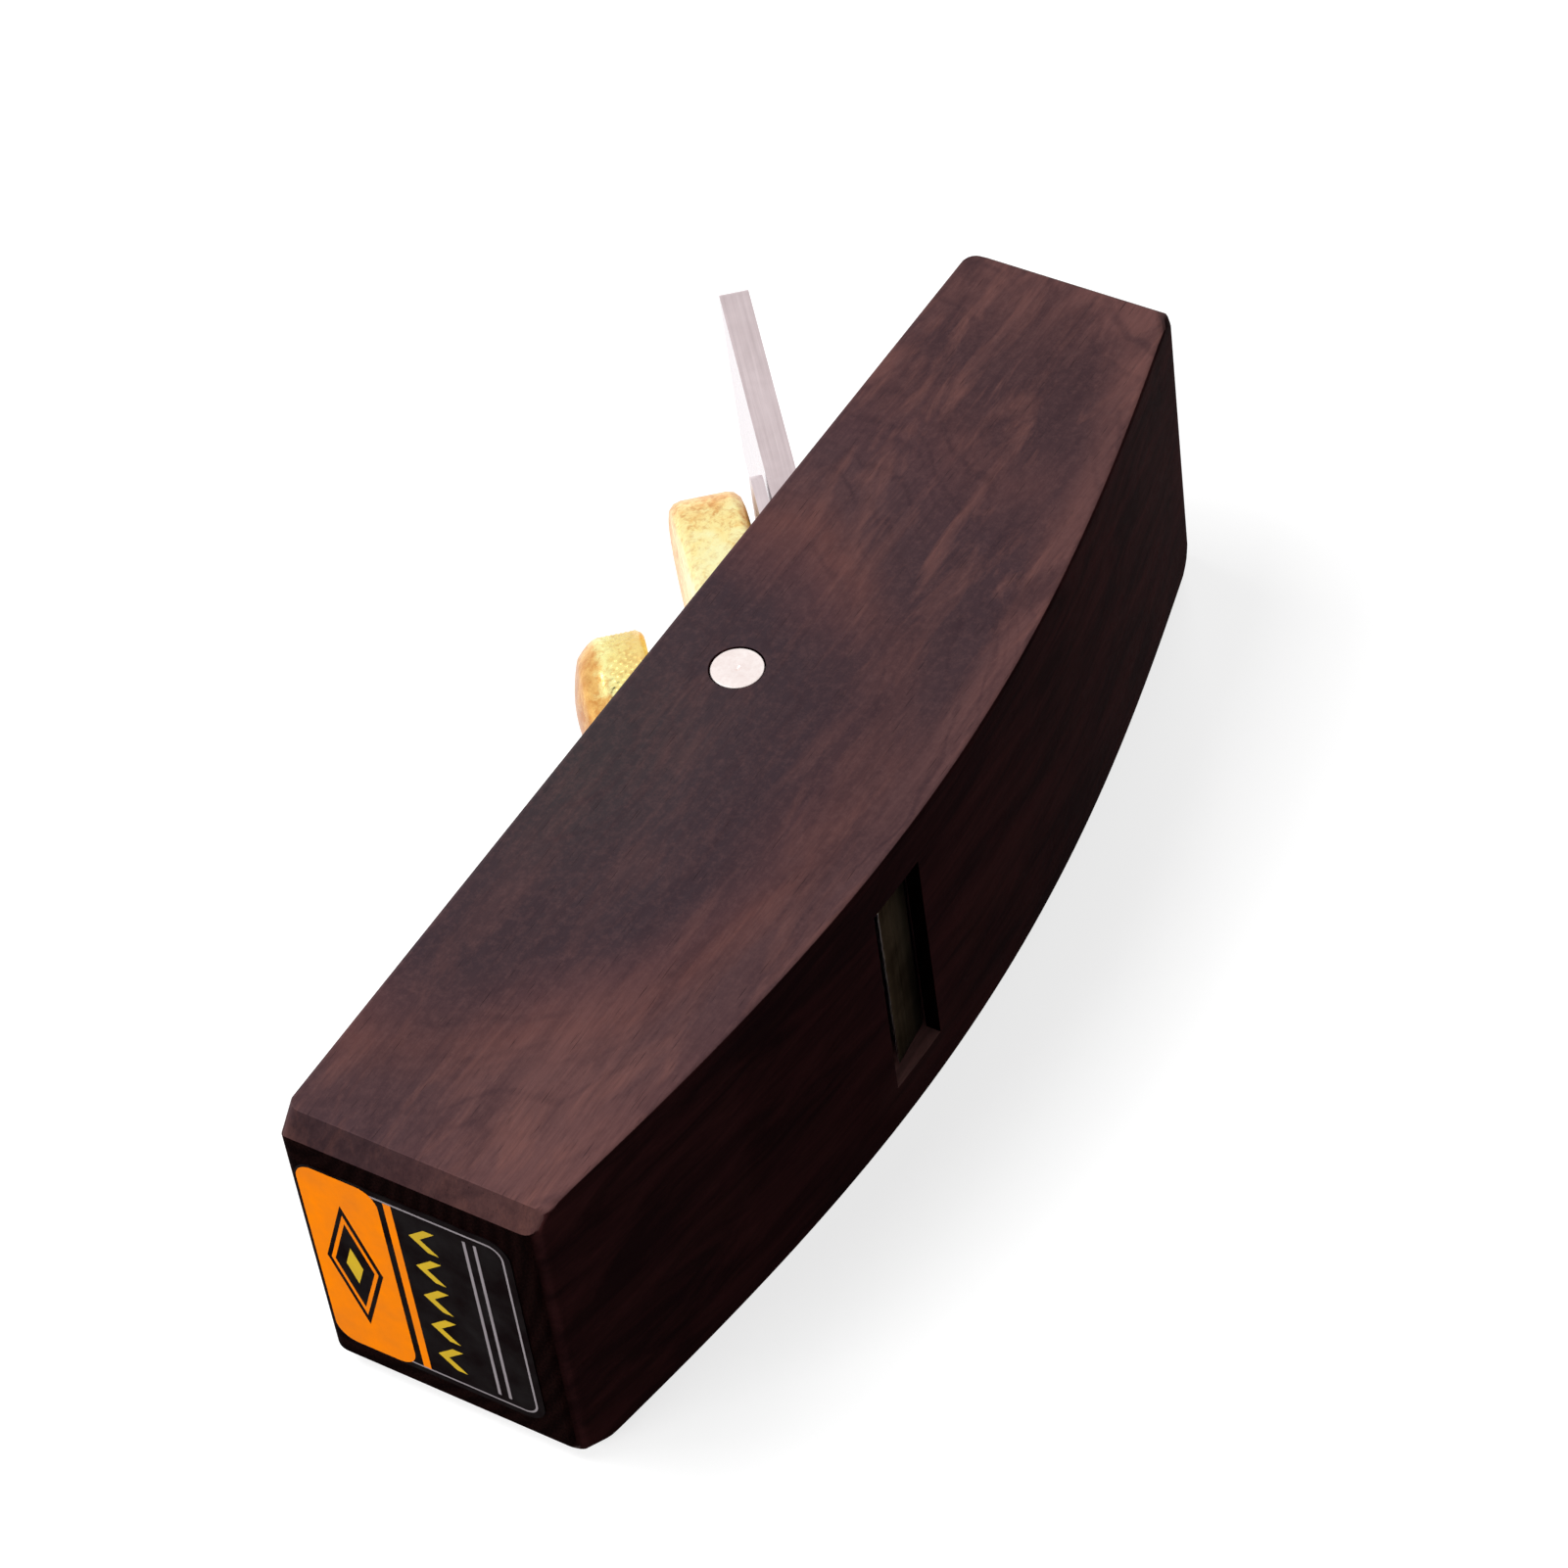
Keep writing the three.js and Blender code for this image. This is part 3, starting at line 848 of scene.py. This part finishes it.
@dataclass
class Stock:
    """The ebony body and the steel cross pin through its cheeks."""

    edge_width: float = 0.3 * MM
    thinnest_paring: float = 0.0002 * MM
    resting_corner: float = 1.9 * MM
    upper_corner: float = 1.5 * MM
    corner_steps: int = 8
    sole_centre: tuple[float, float] = (8.0 * MM, -203.0 * MM)
    sole_radius: float = 219.18 * MM
    pin_chamfer: float = 0.1 * MM
    pin_recess: float = 0.03 * MM
    pin_edge: float = 0.05 * MM
    pin_sides: int = 128
    mark_radius: float = 0.35 * MM
    mark_depth: float = 0.21 * MM

    def pare(self, shape: bmesh.types.BMesh, place: Vector, outward: Vector) -> None:
        """Cut off what lies beyond a plane and close the cut.

        Args:
            shape: the shape.
            place: a place on the plane.
            outward: the way that the plane faces.
        """
        geometry = shape.verts[:] + shape.edges[:] + shape.faces[:]
        cut = bmesh.ops.bisect_plane(shape, geom=geometry, plane_co=place, plane_no=outward,
                                     dist=self.thinnest_paring, clear_outer=True)
        rim = [item for item in cut["geom_cut"] if isinstance(item, bmesh.types.BMEdge) and item.is_boundary]
        if rim:
            bmesh.ops.edgeloop_fill(shape, edges=rim)

    def round_corners(self, shape: bmesh.types.BMesh) -> None:
        """Round the four corners of the sole, plane by plane round a ball set into each.

        Args:
            shape: the body's shape.
        """
        low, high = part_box("body")
        middle_x, middle_y = self.sole_centre
        for end, limit in ((-1, low.x), (1, high.x)):
            for side, level, radius in ((-1, low.z, self.resting_corner), (1, high.z, self.upper_corner)):
                across = limit - end * radius - middle_x
                rise = math.sqrt((self.sole_radius - radius) ** 2 - across ** 2)
                sole = Vector((across, rise, 0)).normalized()
                ball = Vector((middle_x + across, middle_y + rise, level - side * radius))
                for turn in range(1, self.corner_steps - 1):
                    around = Vector((end, 0, 0)).lerp(sole, turn / self.corner_steps).normalized()
                    for lean in range(1, self.corner_steps):
                        angle = math.pi / 2 * lean / self.corner_steps
                        outward = around * math.cos(angle) + Vector((0, 0, side * math.sin(angle)))
                        self.pare(shape, ball + outward * radius, outward)

    def build_body(self) -> None:
        """Build the wooden body with its arrises eased by hand."""
        thing = soften(cad_copy("body", "ebony_body"), self.edge_width, angle=40, change=self.round_corners)
        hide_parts("body")
        dress(thing, Body.STOCK, "body", EbonyFinish().material())

    def build_pin(self) -> None:
        """Build the cross pin with turned, chamfered ends."""
        low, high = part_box("cross_pin")
        radius = (high.x - low.x) / 2
        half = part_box("body")[1].z / 2 - self.pin_recess
        half_profile = ((self.mark_radius / 8, half - self.mark_depth), (self.mark_radius, half),
                        (radius - self.pin_chamfer, half), (radius, half - self.pin_chamfer))
        rows = [(out, -height) for out, height in half_profile] + list(reversed(half_profile))
        shape = turned_shape(rows, self.pin_sides)
        centre = (low + high) / 2
        shape.transform(Matrix.Translation(centre) @ Matrix.Rotation(math.pi / 2, 4, "X"))
        thing = soften(shape_object("steel_cross_pin", shape), self.pin_edge, segments=2, angle=30)
        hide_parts("cross_pin")
        finish = SteelFinish("turned_steel", paint(255, 245, 242), paint(242, 226, 222),
                             lines=Grain((2, 2, 0.3), 5, 0.7))
        dress(thing, Body.STOCK, "cross_pin", finish.material())


@dataclass
class Iron:
    """The blade, whose faces take their finish from how they face, and the chip breaker that lies on it."""

    seat: BladeSeat
    edge_width: float = 0.12 * MM
    front_facing: float = 0.9
    bevel_facing: Span = (-0.05, -0.3)

    def build_blade(self) -> None:
        """Build the ground blade, with a polished front face and a bevel darkened with painted shade."""
        thing = soften(cad_copy("blade", "steel_blade"), self.edge_width, segments=2, angle=50)
        to_seat = self.seat.matrix().inverted()
        for polygon in thing.data.polygons:
            facing = to_seat.to_3x3() @ polygon.normal
            if facing.y > self.front_facing:
                polygon.material_index = 1
            # Faces that look down the blade and away from its front form the bevel, which takes the painted
            # shade.
            elif facing.x < self.bevel_facing[0] and facing.y < self.bevel_facing[1]:
                polygon.material_index = 2
        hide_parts("blade")
        turn = -self.seat.bed_angle
        ground = SteelFinish("ground_blade", line_turn=turn)
        polished = SteelFinish("polished_face", paint(236, 229, 232), paint(214, 204, 208),
                               roughness=0.22, line_turn=turn)
        # Painted shade: the bevel's dark colour and dim rim are painted shade and a painted dark reflection.
        shaded_bevel = SteelFinish("painted_shade_bevel", paint(66, 58, 48), paint(38, 30, 25), roughness=0.4,
                            lines=Grain((3.0, 3.0, 0.05), 5, 0.7), line_turn=turn,
                            rim_tint=paint(112, 100, 90))
        dress(thing, Body.IRON, "blade", ground.material(), polished.material(), shaded_bevel.material())

    def build_breaker(self) -> None:
        """Build the chip breaker."""
        thing = soften(cad_copy("chip_breaker", "steel_chip_breaker"), self.edge_width, segments=2, angle=50)
        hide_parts("chip_breaker")
        finish = SteelFinish("ground_breaker", paint(224, 210, 212), paint(206, 191, 194),
                             roughness=0.26, line_turn=-self.seat.bed_angle)
        dress(thing, Body.BREAKER, "chip_breaker", finish.material())


@dataclass
class LeverCap:
    """The brass lever cap with its round head and hooked pin seat."""

    edge_width: float = 0.22 * MM

    def build(self) -> None:
        """Build the lever cap with eased edges."""
        thing = soften(cad_copy("lever_cap", "brass_lever_cap"), self.edge_width, angle=32)
        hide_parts("lever_cap")
        # Painted highlight and shade: the cap's tone runs from pale to deep orange along the line between the
        # two places below.
        tones = ((0.0, paint(253, 248, 192)), (0.4, paint(254, 236, 164)), (0.9, paint(240, 178, 94)))
        finish = BrassFinish("cast_brass", (-19.0, -17.0, 16.5), (-31.0, -27.0, 16.5), tones)
        dress(thing, Body.CAP, "lever_cap", finish.material())


@dataclass
class ThumbScrew:
    """The brass thumb screw: a threaded stud and a diamond-knurled knob with a domed end."""

    seat: BladeSeat
    up_blade: float = 41.6 * MM
    stud_low: float = 1.8 * MM
    stud_high: float = 18.31 * MM
    stud_radius: float = 2.5 * MM
    thread_pitch: float = 0.8 * MM
    thread_depth: float = 0.4 * MM
    knob_base: float = 14.312 * MM
    knob_radius: float = 7 * MM
    band_low: float = 0.7 * MM
    band_high: float = 4.3 * MM
    shoulder_rise: float = 2.2 * MM
    shoulder_run: float = 1.6 * MM
    dome_rise: float = 1.1 * MM
    socket_radius: float = 2.8 * MM
    socket_depth: float = 4.3 * MM
    shoulder_power: float = 1.6
    shoulder_rows: int = 4
    dome_rows: int = 10
    knurl_count: int = 48
    knurl_depth: float = 0.15 * MM
    knurl_fade: float = 0.4 * MM
    knurl_steps: int = 8
    band_rows: int = 24
    thread_steps: int = 8
    stud_sides: int = 48
    stud_edge: float = 0.02 * MM
    knob_edge: float = 0.03 * MM

    def matrix(self, height: float = 0) -> Matrix:
        """Return the matrix from the screw's own frame, at a height off the blade, to the plane's frame."""
        return self.seat.matrix() @ Matrix.Translation((self.up_blade, height, 0))

    def thread(self, height: float, angle: float) -> float:
        """Work out how deep the thread is cut.

        Args:
            height: a height on the stud.
            angle: an angle round it.

        Returns:
            The depth.
        """
        turns = height / self.thread_pitch + angle / FULL_TURN
        ends = min(height - self.stud_low, self.stud_high - height) / self.thread_pitch
        return self.thread_depth * triangle_wave(turns) * max(0.0, min(1.0, ends))

    def knurl(self, height: float, angle: float) -> float:
        """Work out how deep the two crossing sets of grooves are cut.

        Args:
            height: a height on the knob.
            angle: an angle round it.

        Returns:
            The depth.
        """
        if not self.band_low <= height <= self.band_high:
            return 0.0
        along = (height - self.band_low) * self.knurl_count / (FULL_TURN * self.knob_radius)
        round_it = angle / FULL_TURN * self.knurl_count
        fade = min(height - self.band_low, self.band_high - height) / self.knurl_fade
        groove = max(triangle_wave(round_it + along), triangle_wave(round_it - along))
        return self.knurl_depth * groove * max(0.0, min(1.0, fade))

    def build_stud(self) -> None:
        """Build the threaded stud."""
        count = round((self.stud_high - self.stud_low) / self.thread_pitch * self.thread_steps)
        rise = (self.stud_high - self.stud_low) / count
        rows = [(self.stud_radius, self.stud_low + rise * row) for row in range(count + 1)]
        rows[0] = (self.stud_radius - self.thread_depth, rows[0][1])
        shape = turned_shape(rows, self.stud_sides, self.thread)
        shape.transform(self.matrix())
        thing = soften(shape_object("brass_stud", shape), self.stud_edge, segments=1, angle=80)
        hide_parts("screw_stud")
        tones = ((0.0, paint(226, 176, 98)), (1.0, paint(244, 208, 128)))
        finish = BrassFinish("turned_brass", (-16.0, -13.0, 16.5), (-5.0, -25.0, 16.5), tones,
                             pitting=0.008 * MM)
        dress(thing, Body.STUD, "screw_stud", finish.material())

    def knob_rows(self) -> Profile:
        """Work out the knob's outer profile.

        Returns:
            Its radii and heights, from its underside to the top of its dome.
        """
        radius = self.knob_radius
        rows = [(self.socket_radius, self.socket_depth), (self.socket_radius, 0), (radius - self.band_low, 0),
                (radius - self.band_low / 2, self.band_low / 4)]
        for row in range(self.band_rows + 1):
            rows.append((radius, self.band_low + (self.band_high - self.band_low) * row / self.band_rows))
        for row in range(1, self.shoulder_rows):
            share = row / self.shoulder_rows
            run = self.shoulder_run * share ** self.shoulder_power
            rows.append((radius - run, self.band_high + self.shoulder_rise * share))
        for row in range(self.dome_rows):
            share = 1 - row / self.dome_rows
            rise = self.shoulder_rise + self.dome_rise * (1 - share ** 2)
            rows.append(((radius - self.shoulder_run) * share, self.band_high + rise))
        return rows

    def build_knob(self) -> None:
        """Build the knurled knob."""
        shape = turned_shape(self.knob_rows(), self.knurl_count * self.knurl_steps, self.knurl)
        shape.transform(self.matrix(self.knob_base))
        thing = soften(shape_object("brass_knob", shape), self.knob_edge, segments=1, angle=75)
        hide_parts("screw_knob")
        # Painted highlight and shade: along the knob's axis the tone is palest at the top of the knurled band
        # and turns deep orange over the shoulder and dome.
        tones = ((0.0, paint(242, 204, 124)), (0.42, paint(250, 232, 150)), (0.56, paint(255, 250, 174)),
                 (0.72, paint(240, 190, 112)), (1.0, paint(188, 124, 58)))
        finish = BrassFinish("knurled_brass", (-7.8, -22.0, 16.5), (-2.9, -27.7, 16.5), tones,
                             mottle=0.7, roughness=0.22)
        dress(thing, Body.KNOB, "screw_knob", finish.material())


@dataclass
class ToeLabel:
    """A paper label on the toe in black, orange and yellow, with chevrons and no lettering.

    Its patches lie in layers: 0 is the paper and each higher layer is one print thicker.
    """

    low_y: float = -15.0 * MM
    high_y: float = 7.0 * MM
    low_z: float = 4.0 * MM
    high_z: float = 28.5 * MM
    corner: float = 2.2 * MM
    corner_steps: int = 8
    thickness: float = 0.1 * MM
    print_step: float = 0.012 * MM
    rim: float = 0.7 * MM
    hairline: float = 0.22 * MM
    field_y: float = -6.4 * MM
    stripe_gap: float = 0.7 * MM
    stripe_width: float = 0.8 * MM
    figure_layer: int = 3
    chevrons: range = range(-2, 3)
    chevron_tip: float = -3.6 * MM
    chevron_reach: float = 1.7 * MM
    chevron_half: float = 1.5 * MM
    chevron_thick: float = 1.1 * MM
    chevron_pitch: float = 4.1 * MM
    fine_lines: tuple[float, float] = (2.2 * MM, 3.3 * MM)
    fine_width: float = 0.308 * MM
    lozenge_half: tuple[float, float] = (2.9 * MM, 8.2 * MM)
    lozenges: tuple[tuple[float, Ink], ...] = (
        (1.0, Ink.BLACK), (0.84, Ink.ORANGE), (0.7, Ink.BLACK), (0.3, Ink.YELLOW))
    materials: dict[Ink, bpy.types.Material] = field(default_factory=dict)

    def patch(self, name: str, outline: Profile, layer: int, ink: Ink) -> None:
        """Build one flat printed patch.

        Args:
            name: the patch's name.
            outline: its corners, along Y and Z.
            layer: the layer that it lies in.
            ink: its colour.
        """
        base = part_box("body")[1].x
        depth = self.thickness
        if layer > 0:
            base += self.thickness + self.print_step * (layer - 1)
            depth = self.print_step
        shape = bmesh.new()
        face = shape.faces.new([shape.verts.new((base, y, z)) for y, z in outline])
        pulled = bmesh.ops.extrude_face_region(shape, geom=[face])
        moved = [item for item in pulled["geom"] if isinstance(item, bmesh.types.BMVert)]
        bmesh.ops.translate(shape, verts=moved, vec=(depth, 0, 0))
        thing = shape_object(name, shape)
        if ink not in self.materials:
            self.materials[ink] = InkFinish(ink).material()
        dress(thing, Body.STOCK, "body", self.materials[ink])

    def rounded(self, inset: float, high_y: float) -> Profile:
        """Work out a rectangle with round corners.

        Args:
            inset: how far its other sides are set in from the label's rim.
            high_y: its high side along Y.

        Returns:
            Its outline, along Y and Z.
        """
        radius = self.corner - inset
        near, far = high_y - radius, self.low_y + inset + radius
        bottom, top = self.low_z + inset + radius, self.high_z - inset - radius
        middles = ((near, top), (far, top), (far, bottom), (near, bottom))
        places = []
        for quarter, (middle_y, middle_z) in enumerate(middles):
            for step in range(self.corner_steps + 1):
                angle = math.pi / 2 * (quarter + step / self.corner_steps)
                places.append((middle_y + radius * math.cos(angle), middle_z + radius * math.sin(angle)))
        return places

    def chevron(self, middle_z: float) -> Profile:
        """Work out a chevron that points along -Y.

        Args:
            middle_z: its height up the label.

        Returns:
            Its outline, along Y and Z.
        """
        tip, half = self.chevron_tip, self.chevron_half
        back, thick = self.chevron_tip + self.chevron_reach, self.chevron_thick
        return [(tip, middle_z), (back, middle_z - half), (back + thick, middle_z - half),
                (tip + thick, middle_z), (back + thick, middle_z + half), (back, middle_z + half)]

    def lozenge(self, middle_y: float, middle_z: float, size: float) -> Profile:
        """Work out a tall lozenge.

        Args:
            middle_y: its middle along Y.
            middle_z: its middle up the label.
            size: its share of the full size.

        Returns:
            Its outline, along Y and Z.
        """
        wide, tall = (half * size for half in self.lozenge_half)
        return [(middle_y - wide, middle_z), (middle_y, middle_z - tall), (middle_y + wide, middle_z),
                (middle_y, middle_z + tall)]

    def bar(self, low_y: float, width: float, inset: float) -> Profile:
        """Work out an upright bar.

        Args:
            low_y: its low side along Y.
            width: its width.
            inset: how far its ends are set in from the label's rim.

        Returns:
            Its outline, along Y and Z.
        """
        bottom, top, high_y = self.low_z + inset, self.high_z - inset, low_y + width
        return [(low_y, bottom), (high_y, bottom), (high_y, top), (low_y, top)]

    def layout(self) -> Iterator[tuple[str, Profile, int, Ink]]:
        """Lay out the label: a black ground, a grey frame, an orange field of lozenges, chevrons and lines.

        Yields:
            The name, outline, layer and colour of each patch.
        """
        inner, top = self.rim + self.hairline, self.figure_layer
        stripe_y = self.field_y + self.stripe_gap
        yield "label_ground", self.rounded(0, self.high_y), 0, Ink.BLACK
        yield "label_frame", self.rounded(self.rim, self.high_y - self.rim), 1, Ink.GREY
        yield "label_black_field", self.rounded(inner, self.high_y - inner), 2, Ink.BLACK
        yield "label_orange_field", self.rounded(self.hairline, self.field_y), top, Ink.ORANGE
        yield "label_stripe", self.bar(stripe_y, self.stripe_width, inner), top, Ink.ORANGE
        middle_y = (self.low_y + self.field_y) / 2
        middle_z = (self.low_z + self.high_z) / 2
        for count, (size, ink) in enumerate(self.lozenges, 1):
            yield f"label_lozenge_{count}", self.lozenge(middle_y, middle_z, size), top + count, ink
        for count, place in enumerate(self.chevrons, 1):
            outline = self.chevron(middle_z + place * self.chevron_pitch)
            yield f"label_chevron_{count}", outline, top, Ink.YELLOW
        for count, low_y in enumerate(self.fine_lines, 1):
            outline = self.bar(low_y, self.fine_width, inner + self.rim)
            yield f"label_fine_line_{count}", outline, top, Ink.GREY

    def build(self) -> None:
        """Build the label."""
        for row in self.layout():
            self.patch(*row)


@dataclass(frozen=True)
class Lamp:
    """A soft square lamp: where it hangs, its side, its power in watts and whether the metal mirrors it."""

    name: str
    place: Place
    size: float
    power: float
    mirrored: bool = False


@dataclass
class Studio:
    """The pale table, the soft lamps, the world and the camera at the photograph's angle."""

    camera_place: Place = (268.2 * MM, 201.95 * MM, 378.5 * MM)
    right: Place = (-0.50922, 0.8539, -0.10749)
    ahead: Place = (-0.54603, -0.41708, -0.72657)
    focal_pixels: float = 5553
    image_pixels: float = 1601
    sensor: float = 36
    nearest: float = 0.01
    floor_size: float = 6.0
    floor_tone: float = 0.12
    floor_seen_tone: float = 0.4
    floor_glow: float = 0.76
    glow_fade: Span = (0.2, 1.0)
    ambient: float = 0.14
    aim: Place = (0, 0, 16 * MM)
    lamps: tuple[Lamp, ...] = (
        Lamp("key_lamp", (0.12, -0.36, 0.7), 0.5, 4.8),
        Lamp("spark_lamp", (0.14, -0.38, 0.66), 0.16, 0.5, mirrored=True),
        Lamp("toe_lamp", (0.6, -0.25, 0.18), 0.3, 3.3),
        Lamp("heel_lamp", (-0.62, -0.2, 0.22), 0.3, 2.0))

    def build_camera(self) -> None:
        """Place the camera."""
        lens = bpy.data.cameras.new("camera")
        lens.sensor_width = self.sensor
        lens.lens = self.focal_pixels / self.image_pixels * self.sensor
        lens.clip_start = self.nearest
        thing = bpy.data.objects.new("camera", lens)
        bpy.context.scene.collection.objects.link(thing)
        across = Vector(self.right).normalized()
        back = -Vector(self.ahead).normalized()
        up = back.cross(across).normalized()
        across = up.cross(back)
        turn = Matrix((across, up, back)).transposed().to_4x4()
        thing.matrix_world = Matrix.Translation(self.camera_place) @ turn
        bpy.context.scene.camera = thing

    def hang(self, lamp: Lamp) -> None:
        """Hang a lamp aimed at the plane.

        Args:
            lamp: the lamp.
        """
        light = bpy.data.lights.new(lamp.name, "AREA")
        light.size = lamp.size
        light.energy = lamp.power
        thing = bpy.data.objects.new(lamp.name, light)
        bpy.context.scene.collection.objects.link(thing)
        thing.visible_glossy = lamp.mirrored
        turn = (Vector(self.aim) - Vector(lamp.place)).to_track_quat("-Z", "Y")
        thing.matrix_world = Matrix.Translation(lamp.place) @ turn.to_matrix().to_4x4()

    def seen(self, nodes: Nodes) -> Socket:
        """Tell the rays that see or mirror a surface from those that only carry its light.

        Args:
            nodes: the tree that asks.

        Returns:
            1 for the first and 0 for the others.
        """
        rays = nodes.add("LightPath", {}).outputs
        either = nodes.maths("MAXIMUM", rays["Is Camera Ray"], rays["Is Glossy Ray"])
        return nodes.maths("MAXIMUM", either, rays["Is Transmission Ray"])

    def glow(self, nodes: Nodes) -> Socket:
        """Work out the table's own glow, which reaches full white far from the plane.

        Args:
            nodes: the table's tree.

        Returns:
            The strength of the glow.
        """
        away = nodes.length(nodes.add("TexCoord", {}).outputs["Object"])
        return nodes.span(away, *self.glow_fade, self.floor_glow, 1.0)

    def build_floor(self) -> None:
        """Lay the pale table, which shows white and still takes the plane's shadow."""
        shape = bmesh.new()
        bmesh.ops.create_grid(shape, x_segments=1, y_segments=1, size=self.floor_size / 2)
        floor = shape_object("table", shape)
        material = bpy.data.materials.new("pale_table")
        material.use_nodes = True
        nodes = Nodes(material.node_tree)
        nodes.tree.nodes.clear()
        matte, pale = (nodes.add("BsdfDiffuse", {"Color": (tone, tone, tone, 1)}).outputs[0]
                       for tone in (self.floor_tone, self.floor_seen_tone))
        glow = nodes.add("Emission", {"Strength": self.glow(nodes)}).outputs[0]
        shown = nodes.add("AddShader", {0: pale, 1: glow}).outputs[0]
        picked = nodes.add("MixShader", {0: self.seen(nodes), 1: matte, 2: shown}).outputs[0]
        nodes.add("OutputMaterial", {"Surface": picked})
        floor.data.materials.append(material)

    def build_world(self) -> None:
        """Make the soft surroundings: dim for the light they give, white where they are seen or mirrored."""
        world = bpy.data.worlds.new("surroundings")
        bpy.context.scene.world = world
        world.use_nodes = True
        nodes = Nodes(world.node_tree)
        strength = nodes.span(self.seen(nodes), 0, 1, self.ambient, 1)
        nodes.fill(nodes.tree.nodes["Background"], {"Color": (1, 1, 1, 1), "Strength": strength})

    def build(self) -> None:
        """Build the whole studio."""
        self.build_camera()
        self.build_floor()
        self.build_world()
        for lamp in self.lamps:
            self.hang(lamp)
        bpy.context.scene.view_settings.view_transform = "Standard"


def main() -> None:
    """Build the studio and every piece of the plane."""
    logging.basicConfig(level=logging.INFO, format="%(name)s %(message)s")
    Studio().build()
    seat = BladeSeat()
    stock = Stock()
    stock.build_body()
    stock.build_pin()
    iron = Iron(seat)
    iron.build_blade()
    iron.build_breaker()
    LeverCap().build()
    screw = ThumbScrew(seat)
    screw.build_stud()
    screw.build_knob()
    ToeLabel().build()


if __name__ == "__main__":
    main()
